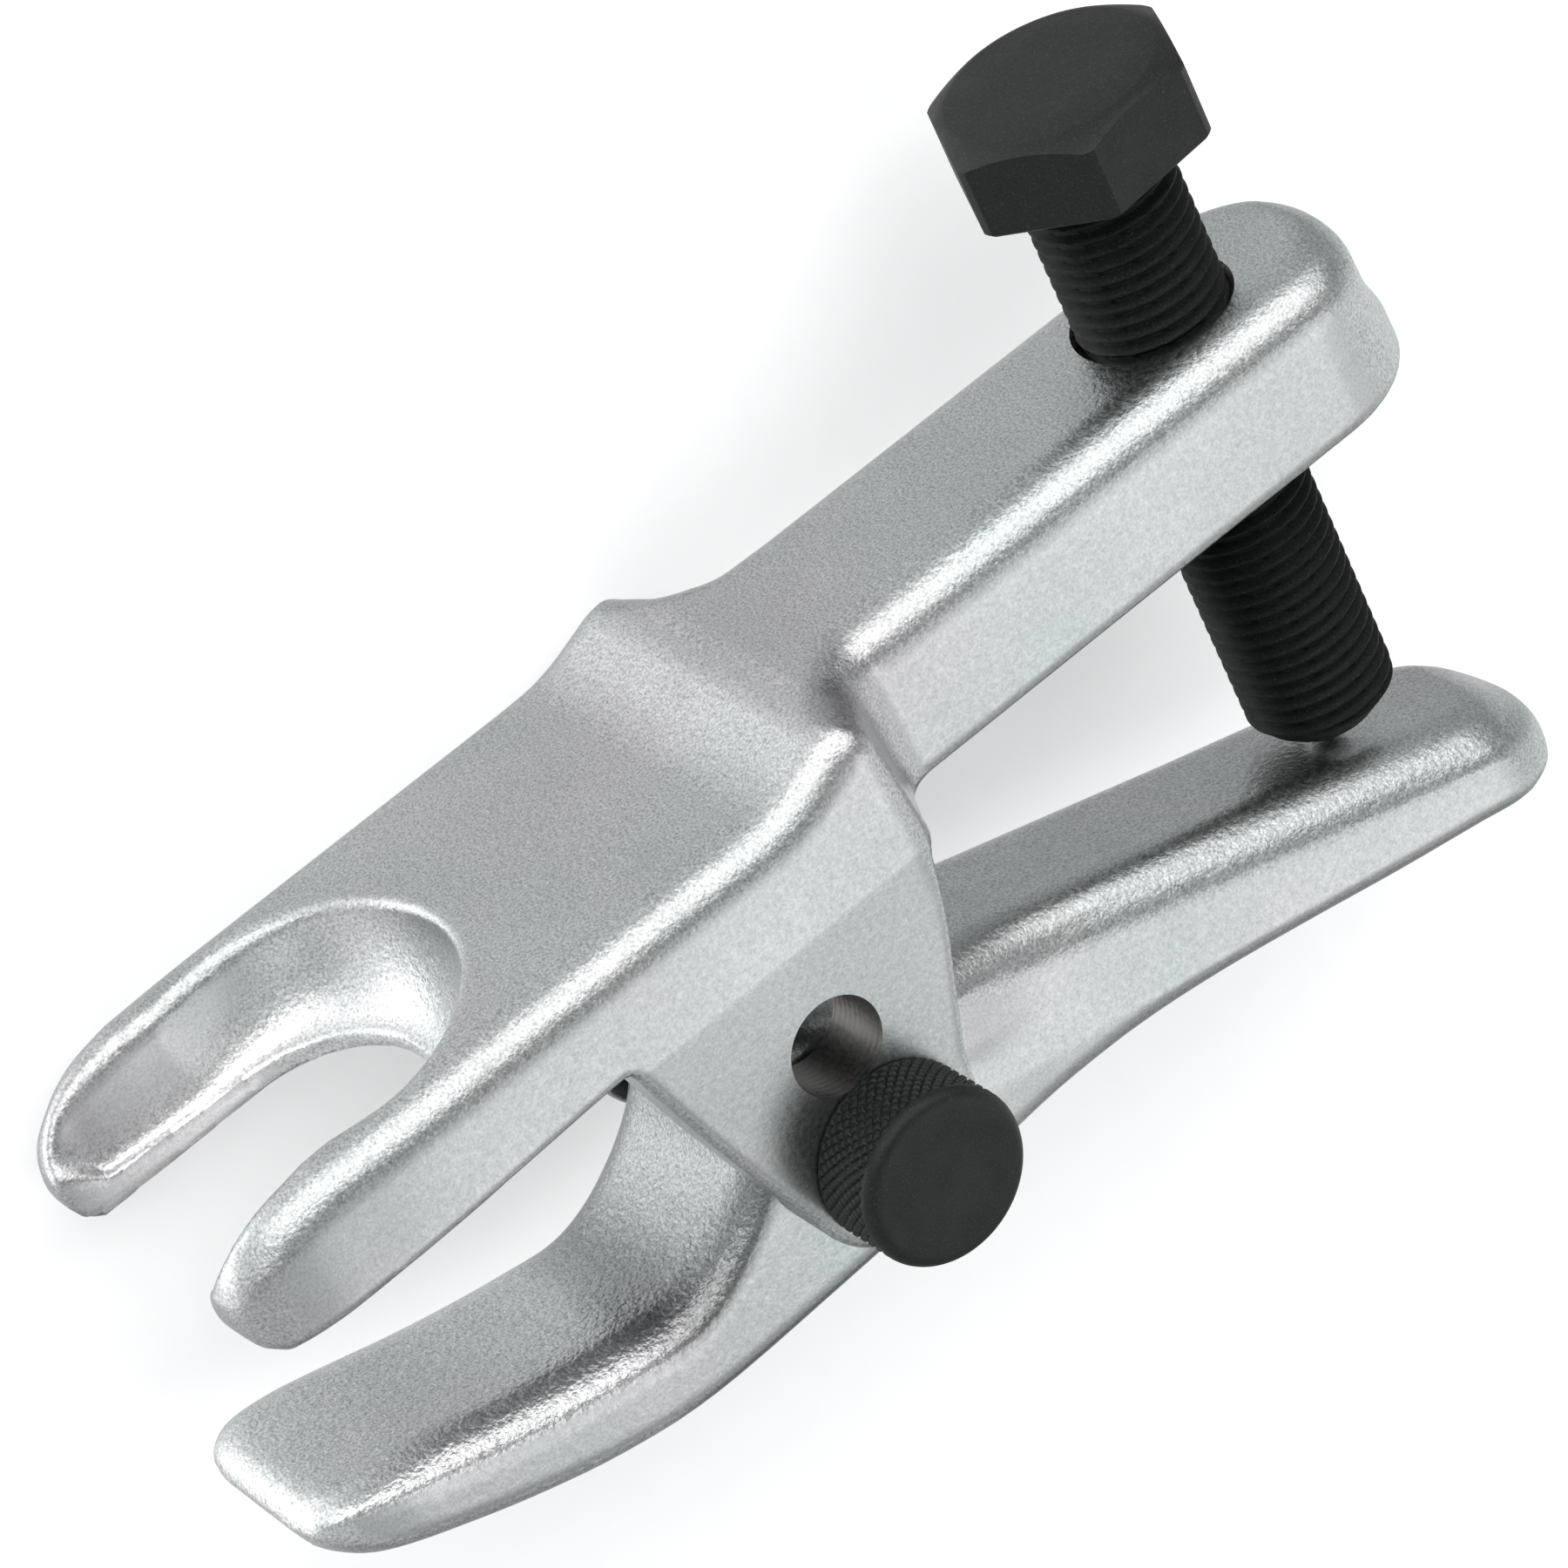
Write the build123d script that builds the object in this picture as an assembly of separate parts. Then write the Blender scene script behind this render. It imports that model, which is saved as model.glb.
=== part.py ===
"""Ball joint separator: a two-arm forged puller with a forcing screw.

Units are millimetres.  The tool lies on the flat side of one cheek.  +X runs from
the fork towards the screw, +Y runs along the screw towards its hex head, and +Z is
the pivot pin's axis, up through its knurled head.  The origin is the pivot axis
where it meets the side that the tool lies on.
"""
from build123d import *
import math
import os

# Fork arm: widths are measured along Z from the mid-plane, heights along Y from the pivot
HALF_WIDTH = 21.2          # mid-plane to the outer face of a cheek
MID = HALF_WIDTH           # height of the mid-plane above the resting side
BODY_BOTTOM = 21.0         # underside of the rear arm and of the prong tips
ROOT_BOTTOM = 22.2         # underside of the prongs where they meet the cheeks
FORK_TOP = 33.3            # top of the fork and the body
ARM_TOP = 36.4             # top of the rear arm
ARM_HALF = 12.0            # half width of the rear arm
TIP_X = -56.4              # foremost point of the prongs
ARM_END_X = 82.7           # rearmost point of the rear arm
SHOULDER_X = 16.6          # rear face of the wide body
DRAFT_STEP = 1.2           # how much narrower the body is at its top
EDGE_R = 3.6               # large forged edge radius

# Fork slot and the dished relief above it
SLOT_HALF = 11.2           # half of the fork opening at its root
SLOT_TIP_HALF = 12.2       # half of the fork opening at the prong tips
SLOT_ROOT_X = -26.3        # rear end of the slot
LEDGE_Y = 24.2             # top of the thin ledge round the slot
DISH_HALF = 14.4           # half width of the relief at the top of the prongs
DISH_REAR_R = 15.2         # radius of the relief round the slot's root
DISH_CENTRE_X = -35.0
DISH_FLOOR_R = 12.0        # radius of the relief at the ledge

# Cheeks
CHEEK_THICKNESS = 7.4
LUG_R = 9.3                # round lower end of each cheek, about the pivot
CHEEK_FRONT_X = -17.6      # where the front edge meets the body's underside
CHEEK_REAR_X = 15.6        # where the rear edge meets the shoulder
SPARE_X = -0.6             # second pivot position
SPARE_Y = 12.2

# Pivot pin
SHANK_R = 4.5
BORE_R = 4.575             # bores of the near cheek and of the lever
END_R = 4.0                # M8 end, screwed into the far cheek
TAPPED_R = 4.05
KNOB_R = 8.1
KNOB_HEIGHT = 7.9
KNOB_RIM_R = 1.3
PIN_END_INSET = 0.8        # the pin's end stays inside the far cheek
SEAT_GAP = 0.1             # under the knob, and under the shank's shoulder

# Forcing screw, M14 x 1.5
SCREW_X = 63.4
SCREW_R = 7.0
SCREW_HOLE_R = 7.06
HOLE_CHAMFER = 0.6
HEAD_BOTTOM_Y = 53.2
HEAD_HEIGHT = 8.4
HEAD_FLATS = 21.0
HEAD_TURN = 6.4            # degrees that the hexagon's corners are turned away from X
HEAD_CHAMFER = 2.2         # how far the top chamfer comes down at the corners
SCREW_END_Y = -9.4
END_FACE_R = 4.7
END_CHAMFER = 2.2          # length of the chamfer at the screw's end
LIP_HEIGHT = 0.8           # rolled lip that holds the ball
LIP_R = 4.0
BALL_R = 3.0
CUP_R = 3.05
BALL_RISE = 0.4            # the ball's centre above the end face

# Lever arm: heights along Y from the pivot
LEVER_HALF = 11.5          # half width of the jaw and the hub
LEVER_REAR_HALF = 10.8     # half width of the rear arm
LEVER_TIP_X = -58.5
LEVER_END_X = 81.6
HUB_R = 8.4                # round top of the hub, about the pivot
PAD_SLOPE = 0.31           # fall of the rear arm's top per unit length
PAD_Y = -12.25             # top of the rear arm under the screw

SIDE = Plane.XY.offset(MID)
PLAN = Plane(origin=(0, 0, MID), x_dir=(1, 0, 0), z_dir=(0, 1, 0))


def from_side(curves, half_width):
    """Extrude a closed side outline, points (x, y), to both sides of the mid-plane."""
    return extrude(SIDE * make_face(Curve() + curves), half_width, both=True)


def from_plan(curves, low, high):
    """Extrude a closed plan outline, points (x, across), between two heights in Y."""
    return extrude(PLAN.offset(low) * make_face(Curve() + curves), high - low)


def mirror_plan(curves):
    """Mirror plan curves in the mid-plane."""
    return [mirror(curve, about=Plane.XZ) for curve in curves]


def polar(radius, degrees):
    """A point at an angle on a circle about the origin."""
    return (radius * math.cos(math.radians(degrees)), radius * math.sin(math.radians(degrees)))


def cross_bore(x, y, radius, low, high):
    """A cylinder along Z at (x, y) from Z = low to Z = high."""
    return Pos(x, y, (low + high) / 2) * Cylinder(radius, high - low)


def upright(x, radius, low, high):
    """A cylinder along Y on the mid-plane at x, from Y = low to Y = high."""
    return Pos(x, (low + high) / 2, MID) * Rot(90, 0, 0) * Cylinder(radius, high - low)


def upright_cone(x, low_radius, high_radius, low, high):
    """A truncated cone along Y on the mid-plane at x."""
    return Pos(x, (low + high) / 2, MID) * Rot(-90, 0, 0) * Cone(low_radius, high_radius, high - low)


def bar_section(low_half, top_half, low, high, edge_radius, start_x, end_x):
    """A bar along X whose section has draft sides and rounded top edges."""
    section = Polyline(
        (-low, -low_half), (-high, -top_half), (-high, top_half), (-low, low_half), close=True
    )
    face = make_face(section)
    top_corners = face.vertices().sort_by(Axis.X)[:2]
    rounded = fillet(top_corners, edge_radius)
    plane = Plane(origin=(start_x, 0, MID), x_dir=(0, -1, 0), z_dir=(1, 0, 0))
    return extrude(plane * rounded, end_x - start_x)


def fork_side():
    """Side outline of the fork, the body and the rear arm."""
    low = (TIP_X + 5.0, BODY_BOTTOM)
    nose = (TIP_X, BODY_BOTTOM + 5.6)
    brow = (TIP_X + 4.6, FORK_TOP - 2.6)
    top = (TIP_X + 12.5, FORK_TOP)
    rise = (3.0, FORK_TOP)
    crest = (14.5, ARM_TOP)
    end_top = (ARM_END_X, ARM_TOP)
    end_low = (ARM_END_X, BODY_BOTTOM)
    body_low = (CHEEK_FRONT_X + 4.0, BODY_BOTTOM)
    root = (CHEEK_FRONT_X, ROOT_BOTTOM)
    return [
        Spline(low, nose, brow, top, tangents=((-1, 0.1), (1, 0))),
        Line(top, rise),
        Spline(rise, crest, tangents=((1, 0), (1, 0))),
        Line(crest, end_top),
        Line(end_top, end_low),
        Line(end_low, body_low),
        Line(body_low, root),
        Line(root, low),
    ]


def body_plan():
    """Plan outline of the fork and the wide body, without the slot."""
    nose = (TIP_X, 15.0)
    flank = (TIP_X + 10.0, HALF_WIDTH - 0.4)
    shoulder = (SHOULDER_X - 4.0, HALF_WIDTH)
    waist = (SHOULDER_X, HALF_WIDTH - 4.0)
    neck = (SHOULDER_X + 5.5, ARM_HALF)
    half = [
        Line((TIP_X, 0), nose),
        Spline(nose, flank, tangents=((0.15, 1), (1, 0))),
        Line(flank, (CHEEK_FRONT_X, HALF_WIDTH)),
        Line((CHEEK_FRONT_X, HALF_WIDTH), shoulder),
        TangentArc(shoulder, waist, tangent=(1, 0)),
        Spline(waist, neck, tangents=((0, -1), (1, 0))),
        Line(neck, (neck[0], 0)),
    ]
    return half + mirror_plan(half)


def arm_plan():
    """Plan outline of the rear arm, from inside the body to its round end."""
    root = (0, ARM_HALF)
    end_side = (ARM_END_X - ARM_HALF, ARM_HALF)
    half = [
        Line((0, 0), root),
        Line(root, end_side),
        TangentArc(end_side, (ARM_END_X, 0), tangent=(1, 0)),
    ]
    return half + mirror_plan(half)


def tangent_angle(point, side):
    """Angle, about the pivot, of the lug's tangent point seen from a point outside it."""
    distance = math.hypot(*point)
    return math.degrees(math.atan2(point[1], point[0]) - side * math.acos(LUG_R / distance))


def cheek(inner_z):
    """One cheek: a plate that tapers down to a round lug about the pivot."""
    front = (CHEEK_FRONT_X, BODY_BOTTOM + 3.0)
    rear = (CHEEK_REAR_X, BODY_BOTTOM + 7.0)
    front_foot = polar(LUG_R, tangent_angle(front, -1))
    rear_foot = polar(LUG_R, tangent_angle(rear, 1))
    outline = [
        Line(front, front_foot),
        ThreePointArc(front_foot, (0, -LUG_R), rear_foot),
        Line(rear_foot, rear),
        Line(rear, front),
    ]
    return extrude(Plane.XY.offset(inner_z) * make_face(Curve() + outline), CHEEK_THICKNESS)


def slot_tool():
    """Cutter for the fork slot: a U that opens slightly to the front."""
    centre_x = SLOT_ROOT_X - SLOT_HALF
    mouth = (TIP_X - 5, SLOT_TIP_HALF)
    side = (centre_x, SLOT_HALF)
    middle = polar(SLOT_HALF, 45)
    half = [
        Line((mouth[0], 0), mouth),
        Line(mouth, side),
        ThreePointArc(side, (centre_x + middle[0], middle[1]), (SLOT_ROOT_X, 0)),
    ]
    return from_plan(half + mirror_plan(half), BODY_BOTTOM - 1, ARM_TOP + 1)


def dish_section(half_width, rear_radius, height):
    """Section of the relief at one height, open past the prong tips."""
    mouth_x = TIP_X - 8
    side = (DISH_CENTRE_X, half_width)
    middle = (DISH_CENTRE_X + polar(rear_radius, 45)[0], polar(half_width, 45)[1])
    half = [
        Line((mouth_x, 0), (mouth_x, half_width)),
        Line((mouth_x, half_width), side),
        ThreePointArc(side, middle, (DISH_CENTRE_X + rear_radius, 0)),
    ]
    return PLAN.offset(height) * make_face(Curve() + half + mirror_plan(half))


def dish_tool():
    """Cutter for the dished relief, from the ledge up through the top of the fork."""
    over = 5.0
    rise = (FORK_TOP - LEDGE_Y + over) / (FORK_TOP - LEDGE_Y)
    mouth_half = DISH_FLOOR_R + rise * (DISH_HALF - DISH_FLOOR_R)
    mouth_rear = DISH_FLOOR_R + rise * (DISH_REAR_R - DISH_FLOOR_R)
    floor = dish_section(DISH_FLOOR_R, DISH_FLOOR_R, LEDGE_Y)
    return loft([floor, dish_section(mouth_half, mouth_rear, FORK_TOP + over)])


def make_fork_arm():
    """The upper forging: fork, body, rear arm and two cheeks, with all its holes."""
    low = BODY_BOTTOM - 1
    side = from_side(fork_side(), HALF_WIDTH)
    top_half = HALF_WIDTH - DRAFT_STEP
    body_bar = bar_section(HALF_WIDTH, top_half, low, ARM_TOP, EDGE_R, TIP_X - 1, SHOULDER_X + 6)
    arm_bar = bar_section(ARM_HALF, ARM_HALF, low, ARM_TOP, EDGE_R, -1, ARM_END_X + 1)
    body = side & from_plan(body_plan(), low, ARM_TOP + 1) & body_bar
    arm = side & from_plan(arm_plan(), low, ARM_TOP + 1) & arm_bar
    forging = body + arm + cheek(0) + cheek(2 * MID - CHEEK_THICKNESS)
    forging -= slot_tool()
    forging -= dish_tool()
    forging -= upright(SCREW_X, SCREW_HOLE_R, low, ARM_TOP + 1)
    wide = SCREW_HOLE_R + HOLE_CHAMFER
    forging -= upright_cone(SCREW_X, SCREW_HOLE_R, wide, ARM_TOP - HOLE_CHAMFER, ARM_TOP)
    forging -= upright_cone(SCREW_X, wide, SCREW_HOLE_R, BODY_BOTTOM, BODY_BOTTOM + HOLE_CHAMFER)
    for x, y in ((0, 0), (SPARE_X, SPARE_Y)):
        forging -= cross_bore(x, y, TAPPED_R, -1, MID)
        forging -= cross_bore(x, y, BORE_R, MID, 2 * MID + 1)
    return forging


def pad_line(x):
    """Height of the lever's sloping top at x."""
    return PAD_Y - PAD_SLOPE * (x - SCREW_X)


def lever_side():
    """Side outline of the lever: jaw, throat, hub and sloping rear arm."""
    tip = (LEVER_TIP_X, -3.0)
    hub_front = polar(HUB_R, 178)
    hub_rear = polar(HUB_R, 62)
    root = (16.0, pad_line(16.0))
    top_end = (76.8, pad_line(76.8))
    end = (LEVER_END_X, -20.8)
    low_end = (77.2, -25.0)
    return [
        Spline(
            tip, (-52.4, -1.1), (-38.0, -4.4), (-21.0, -7.9), (-12.0, -3.9), hub_front,
            tangents=((0, 1), (0.03, 1)),
        ),
        ThreePointArc(hub_front, polar(HUB_R, 120), hub_rear),
        Spline(hub_rear, root, tangents=((0.88, -0.47), (1, -PAD_SLOPE))),
        Line(root, top_end),
        Spline(top_end, end, low_end, tangents=((1, -PAD_SLOPE), (-1, 0.2))),
        Spline(
            low_end, (58.4, -21.4), (38.9, -17.4), (24.1, -15.8), (5.0, -16.4), (-20.7, -17.3),
            (-35.0, -14.7), (-48.2, -10.1), (-55.8, -6.0), tip,
            tangents=((-1, 0.2), (0, 1)),
        ),
    ]


def lever_plan():
    """Plan outline of the lever."""
    corner = (LEVER_TIP_X + 4.5, LEVER_HALF)
    hub = (10.0, LEVER_HALF)
    waist = (24.0, LEVER_REAR_HALF)
    end_side = (LEVER_END_X - LEVER_REAR_HALF, LEVER_REAR_HALF)
    half = [
        Line((LEVER_TIP_X, 0), (LEVER_TIP_X, LEVER_HALF - 4.5)),
        TangentArc((LEVER_TIP_X, LEVER_HALF - 4.5), corner, tangent=(0, 1)),
        Line(corner, hub),
        Spline(hub, waist, tangents=((1, 0), (1, 0))),
        Line(waist, end_side),
        TangentArc(end_side, (LEVER_END_X, 0), tangent=(1, 0)),
    ]
    return half + mirror_plan(half)


def make_lever_arm():
    """The lower forging: a jaw, a bored hub and a rear arm that the screw presses."""
    blank = from_side(lever_side(), LEVER_HALF + 1) & from_plan(lever_plan(), -30, 12)
    return blank - cross_bore(0, 0, BORE_R, 0, 2 * MID)


def make_forcing_screw():
    """M14 x 1.5 screw with a hex head, and a cup for the ball in its end."""
    shank = upright(SCREW_X, SCREW_R, SCREW_END_Y + END_CHAMFER, HEAD_BOTTOM_Y)
    end = upright_cone(SCREW_X, END_FACE_R, SCREW_R, SCREW_END_Y, SCREW_END_Y + END_CHAMFER)
    lip = upright(SCREW_X, LIP_R, SCREW_END_Y - LIP_HEIGHT, SCREW_END_Y)
    corner_r = HEAD_FLATS / math.sqrt(3)
    hexagon = PLAN.offset(HEAD_BOTTOM_Y) * Pos(SCREW_X, 0) * Rot(0, 0, HEAD_TURN)
    head = extrude(hexagon * RegularPolygon(corner_r, 6), HEAD_HEIGHT)
    top = HEAD_BOTTOM_Y + HEAD_HEIGHT
    chamfer_r = corner_r - HEAD_CHAMFER / math.tan(math.radians(30))
    wide_r = chamfer_r + HEAD_HEIGHT / math.tan(math.radians(30))
    head &= upright_cone(SCREW_X, wide_r, chamfer_r, HEAD_BOTTOM_Y, top)
    cup = Pos(SCREW_X, SCREW_END_Y + BALL_RISE, MID) * Sphere(CUP_R)
    return shank + end + lip + head - cup


def make_ball():
    """The steel ball that turns in the screw's end and presses on the lever."""
    return Pos(SCREW_X, SCREW_END_Y + BALL_RISE, MID) * Sphere(BALL_R)


def make_pivot_pin():
    """Pivot pin: knurled head, plain shank and a threaded end for the far cheek."""
    shoulder_z = CHEEK_THICKNESS + SEAT_GAP
    seat_z = 2 * MID + SEAT_GAP
    threaded_end = cross_bore(0, 0, END_R, PIN_END_INSET, shoulder_z)
    shank = cross_bore(0, 0, SHANK_R, shoulder_z, seat_z)
    knob = cross_bore(0, 0, KNOB_R, seat_z, seat_z + KNOB_HEIGHT)
    knob = fillet(knob.edges().sort_by(Axis.Z)[-1], KNOB_RIM_R)
    return threaded_end + shank + knob


NODES = {
    "fork_arm": make_fork_arm,
    "lever_arm": make_lever_arm,
    "forcing_screw": make_forcing_screw,
    "screw_tip_ball": make_ball,
    "pivot_pin": make_pivot_pin,
}

if __name__ == "__main__":
    os.makedirs("parts", exist_ok=True)
    for name, make in NODES.items():
        export_step(make(), f"parts/{name}.step")
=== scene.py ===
"""Looks of the ball joint separator: forged arms, black screw and knurled pin, on a pale floor.

Shapes are worked out in millimetres, in the row frame, and turned into metres when a mesh is made.
"""

import math

import bpy
import numpy as np
from mathutils import Matrix, Vector


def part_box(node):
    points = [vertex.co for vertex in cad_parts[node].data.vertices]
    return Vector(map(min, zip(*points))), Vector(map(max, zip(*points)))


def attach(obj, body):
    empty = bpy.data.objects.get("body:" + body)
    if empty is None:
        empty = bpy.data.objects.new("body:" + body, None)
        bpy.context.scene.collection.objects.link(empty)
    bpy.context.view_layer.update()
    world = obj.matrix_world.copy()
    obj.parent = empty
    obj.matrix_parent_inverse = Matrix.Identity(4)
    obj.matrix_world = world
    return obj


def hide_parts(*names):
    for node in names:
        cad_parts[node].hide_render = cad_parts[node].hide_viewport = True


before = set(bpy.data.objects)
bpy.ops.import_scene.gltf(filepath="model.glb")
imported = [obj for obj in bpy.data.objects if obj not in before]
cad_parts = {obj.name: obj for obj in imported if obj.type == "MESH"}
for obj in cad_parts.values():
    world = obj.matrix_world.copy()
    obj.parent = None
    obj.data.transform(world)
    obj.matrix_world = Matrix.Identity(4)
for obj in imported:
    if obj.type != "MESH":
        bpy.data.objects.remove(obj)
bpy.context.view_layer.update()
MM = 0.001


def node_box(name):
    """A CAD node's lowest and highest corners, in millimetres."""
    low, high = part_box(name)
    return np.array(low) / MM, np.array(high) / MM


FORK_LOW, FORK_HIGH = node_box("fork_arm")
LEVER_LOW, LEVER_HIGH = node_box("lever_arm")
SCREW_HIGH = node_box("forcing_screw")[1]
BALL_LOW, BALL_HIGH = node_box("screw_tip_ball")
PIN_HIGH = node_box("pivot_pin")[1]

# ---------------------------------------------------------------- sizes, millimetres
# X runs from the fork to the screw, Y along the screw to its head, Z along the pin to its knurled head.
# A "half" is measured from the mid-plane, an "R" is a radius.
HALF_WIDTH = (FORK_HIGH[2] - FORK_LOW[2]) / 2
MID = (FORK_HIGH[2] + FORK_LOW[2]) / 2
ARM_TOP = FORK_HIGH[1]
ARM_END_X = FORK_HIGH[0]
TIP_X = FORK_LOW[0]
BODY_BOTTOM = 21.0
FORK_TOP = ARM_TOP - 3.1
ARM_HALF = 12.0
SHOULDER_X = 16.6
SHOULDER_FILLET_R = 2.2
ROOT_BOTTOM = 22.9                 # underside of the prongs where they meet the cheeks
PARTING_Y = BODY_BOTTOM + 1.4      # the sides lean in above this height
BODY_DRAFT = 0.11
ARM_DRAFT = 0.03
EDGE_R = 4.1
ARM_EDGE_R = 5.1
LOW_EDGE_R = 1.1
CHEEK_EDGE_R = 0.8
CHEEK_THICKNESS = 7.4
CHEEK_INNER = HALF_WIDTH - CHEEK_THICKNESS
CHEEK_ROOT_R = 2.5                 # fillet where the cheeks grow out of the body
CHEEK_ROOT_END_R = 0.3             # what is left of it at the cheeks' edges
LUG_R = 9.3
SPARE_X, SPARE_Y = -0.6, 12.2
BORE_R = 4.575
TAPPED_R = 4.05

SLOT_HALF, SLOT_TIP_HALF = 11.2, 12.2
SLOT_ROOT_X = -26.3
SLOT_CENTRE_X = SLOT_ROOT_X - SLOT_HALF
LEDGE_Y = 24.2
RIM_HALF = 14.2
RIM_R = 15.2
RIM_CENTRE_X = -35.0
RIM_EDGE_R = 2.4
RIM_TIP_EDGE_R = 0.8
DISH_POWER = 1.65                  # 2 is an elliptic dish, 1 a straight slope
SLOT_EDGE_R = 0.55

SCREW_X = (BALL_LOW[0] + BALL_HIGH[0]) / 2
SCREW_R = 7.0
SCREW_HOLE_R = 7.06
SCREW_HOLE_MOUTH_R = 7.55
THREAD_PITCH = 1.5
THREAD_DEPTH = 0.85
THREAD_FLANK = 2.6                 # groove depths per pitch, going down a flank
THREAD_ROOT = 1.15                 # above 1 leaves a flat at the root
NECK_R = 6.2
HEAD_HEIGHT = 8.4
HEAD_FLATS = 21.0
HEAD_TURN = math.radians(6.4)
HEAD_FACE_R = 9.7
HEAD_CHAMFER = math.radians(30)
HEAD_CORNER_BREAK = 0.25
END_FACE_R = 4.7
LIP_R = 4.0
LIP_HEIGHT = 0.8
SEAT_R = 2.85
BALL_RISE = 0.4
END_CHAMFER = 2.2

PAD_SLOPE = 0.31
PAD_Y = -12.25
HUB_R = 8.4
LEVER_HALF = (LEVER_HIGH[2] - LEVER_LOW[2]) / 2
LEVER_REAR_HALF = LEVER_HALF - 0.7
LEVER_TIP_X = LEVER_LOW[0]
LEVER_END_X = LEVER_HIGH[0]
LEVER_TOP_R = 4.8
LEVER_FAR_R = 3.2
LEVER_LOW_R = 2.6
REAR_DRAFT = 0.2
REAR_DRAFT_START = 4.0             # this far below the middle line
REAR_DRAFT_HEIGHT = 9.0
CROWN_R = 5.5                      # edge radius of the jaw, before its side is trimmed
CROWN_PAST = 0.7                   # the rounding would end this far outside the trimmed side
CROWN_PAST_NOSE = 1.9
CREASE_R = 0.5

KNOB_R = PIN_HIGH[0]
KNOB_TOP = PIN_HIGH[2]
KNOB_HEIGHT = 7.9
KNOB_RIM_R = 1.3
SHANK_R = 4.5
END_R = 4.0
END_HEIGHT = 0.8
KNURL_DEPTH = 0.32
KNURL_COUNT = 44
KNURL_SHARPNESS = 2.2

GRID_STEP = 0.5
PROBE = 0.02                       # half the distance over which a field's slope is taken
SETTLE_ROUNDS = 3
LONGEST_SHIFT = 0.4                # of a grid step, in one round
CUT_SHARP_ANGLE = 38


# Where one form turns into the next: (start, end) along X.
ROOT_FILLET_ENDS = (11, 16)        # either way from the pivot
BODY_TO_ARM_DRAFT = (12, 24)
BODY_TO_ARM_EDGE = (16, 26)
AHEAD_OF_CHEEKS = (14, 24)         # ahead of the pivot
BEHIND_CHEEKS = (14, 22)
RIM_SOFTENS = (-56, -46)
RIM_CRISPENS = (-36, -22)
NOSE_TO_JAW = (-57, -43)
JAW_TO_REAR = (4, 26)


# ---------------------------------------------------------------- outlines
def curve(points, steps=7):
    """A Catmull-Rom curve through the points, sampled between each pair."""
    p = np.array(points, dtype=float)
    p = np.vstack([2 * p[0] - p[1], p, 2 * p[-1] - p[-2]])
    out = []
    t = np.linspace(0, 1, steps, endpoint=False)[:, None]
    for a, b, c, d in zip(p[:-3], p[1:-2], p[2:-1], p[3:]):
        out.append(0.5 * (2 * b + (c - a) * t + (2 * a - 5 * b + 4 * c - d) * t**2
                          + (3 * b - a - 3 * c + d) * t**3))
    out.append(p[-2:-1])
    return np.vstack(out)


def arc(centre, radius, start, end, steps=16):
    """An arc about a centre, angles in degrees."""
    t = np.radians(np.linspace(start, end, steps))
    return np.stack([centre[0] + radius * np.cos(t), centre[1] + radius * np.sin(t)], axis=1)


def outline(*pieces):
    """Join point lists into one closed outline."""
    return np.vstack([np.atleast_2d(np.array(p, dtype=float)) for p in pieces])


def distance(x, y, points):
    """Signed distance from each (x, y) to a closed outline, negative inside."""
    best = None
    inside = None
    for (ax, ay), (bx, by) in zip(points, np.roll(points, -1, axis=0)):
        dx, dy = bx - ax, by - ay
        length2 = dx * dx + dy * dy
        if length2 < 1e-12:
            continue
        px, py = x - ax, y - ay
        t = np.clip((px * dx + py * dy) / length2, 0, 1)
        d2 = (px - t * dx) ** 2 + (py - t * dy) ** 2
        best = d2 if best is None else np.minimum(best, d2)
        crosses = ((ay > y) != (by > y)) & (px < py * dx / (dy if dy else 1e-12))
        inside = crosses if inside is None else inside ^ crosses
    return np.where(inside, -1, 1) * np.sqrt(best)


def meet(a, b, r):
    """Where two solids overlap, with a convex edge of radius r."""
    return np.minimum(np.maximum(a, b), -r) + np.hypot(np.maximum(a + r, 0), np.maximum(b + r, 0))


def join(a, b, r):
    """Two solids together, with a concave fillet of radius r."""
    return np.maximum(np.minimum(a, b), r) - np.hypot(np.maximum(r - a, 0), np.maximum(r - b, 0))


def ramp(x, start, end):
    """0 before start, 1 after end, smooth between."""
    t = np.clip((x - start) / (end - start), 0, 1)
    return t * t * (3 - 2 * t)


# ---------------------------------------------------------------- the two forgings
TIP_TOP = curve([
    (TIP_X, BODY_BOTTOM + 5.6), (TIP_X + 1.3, FORK_TOP - 4.2), (TIP_X + 4.4, FORK_TOP - 2.2),
    (TIP_X + 8.0, FORK_TOP - 0.8), (TIP_X + 12.5, FORK_TOP),
])
FORK_SIDE = outline(
    (TIP_X + 3.2, BODY_BOTTOM),
    curve([(TIP_X + 1.6, BODY_BOTTOM + 1.0), (TIP_X + 0.5, BODY_BOTTOM + 3.4), (TIP_X, BODY_BOTTOM + 5.6)]),
    TIP_TOP,
    curve([
        (0.0, FORK_TOP), (3.6, FORK_TOP + 0.15), (6.4, FORK_TOP + 0.8), (9.0, ARM_TOP - 1.3),
        (11.4, ARM_TOP - 0.4), (14.8, ARM_TOP),
    ]),
    curve([
        (ARM_END_X - 4.0, ARM_TOP), (ARM_END_X - 1.7, ARM_TOP - 0.7), (ARM_END_X - 0.4, ARM_TOP - 2.4),
        (ARM_END_X, ARM_TOP - 5.5),
    ]),
    (ARM_END_X, BODY_BOTTOM),
    (-13.6, BODY_BOTTOM),
    (-18.0, ROOT_BOTTOM),
)
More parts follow.
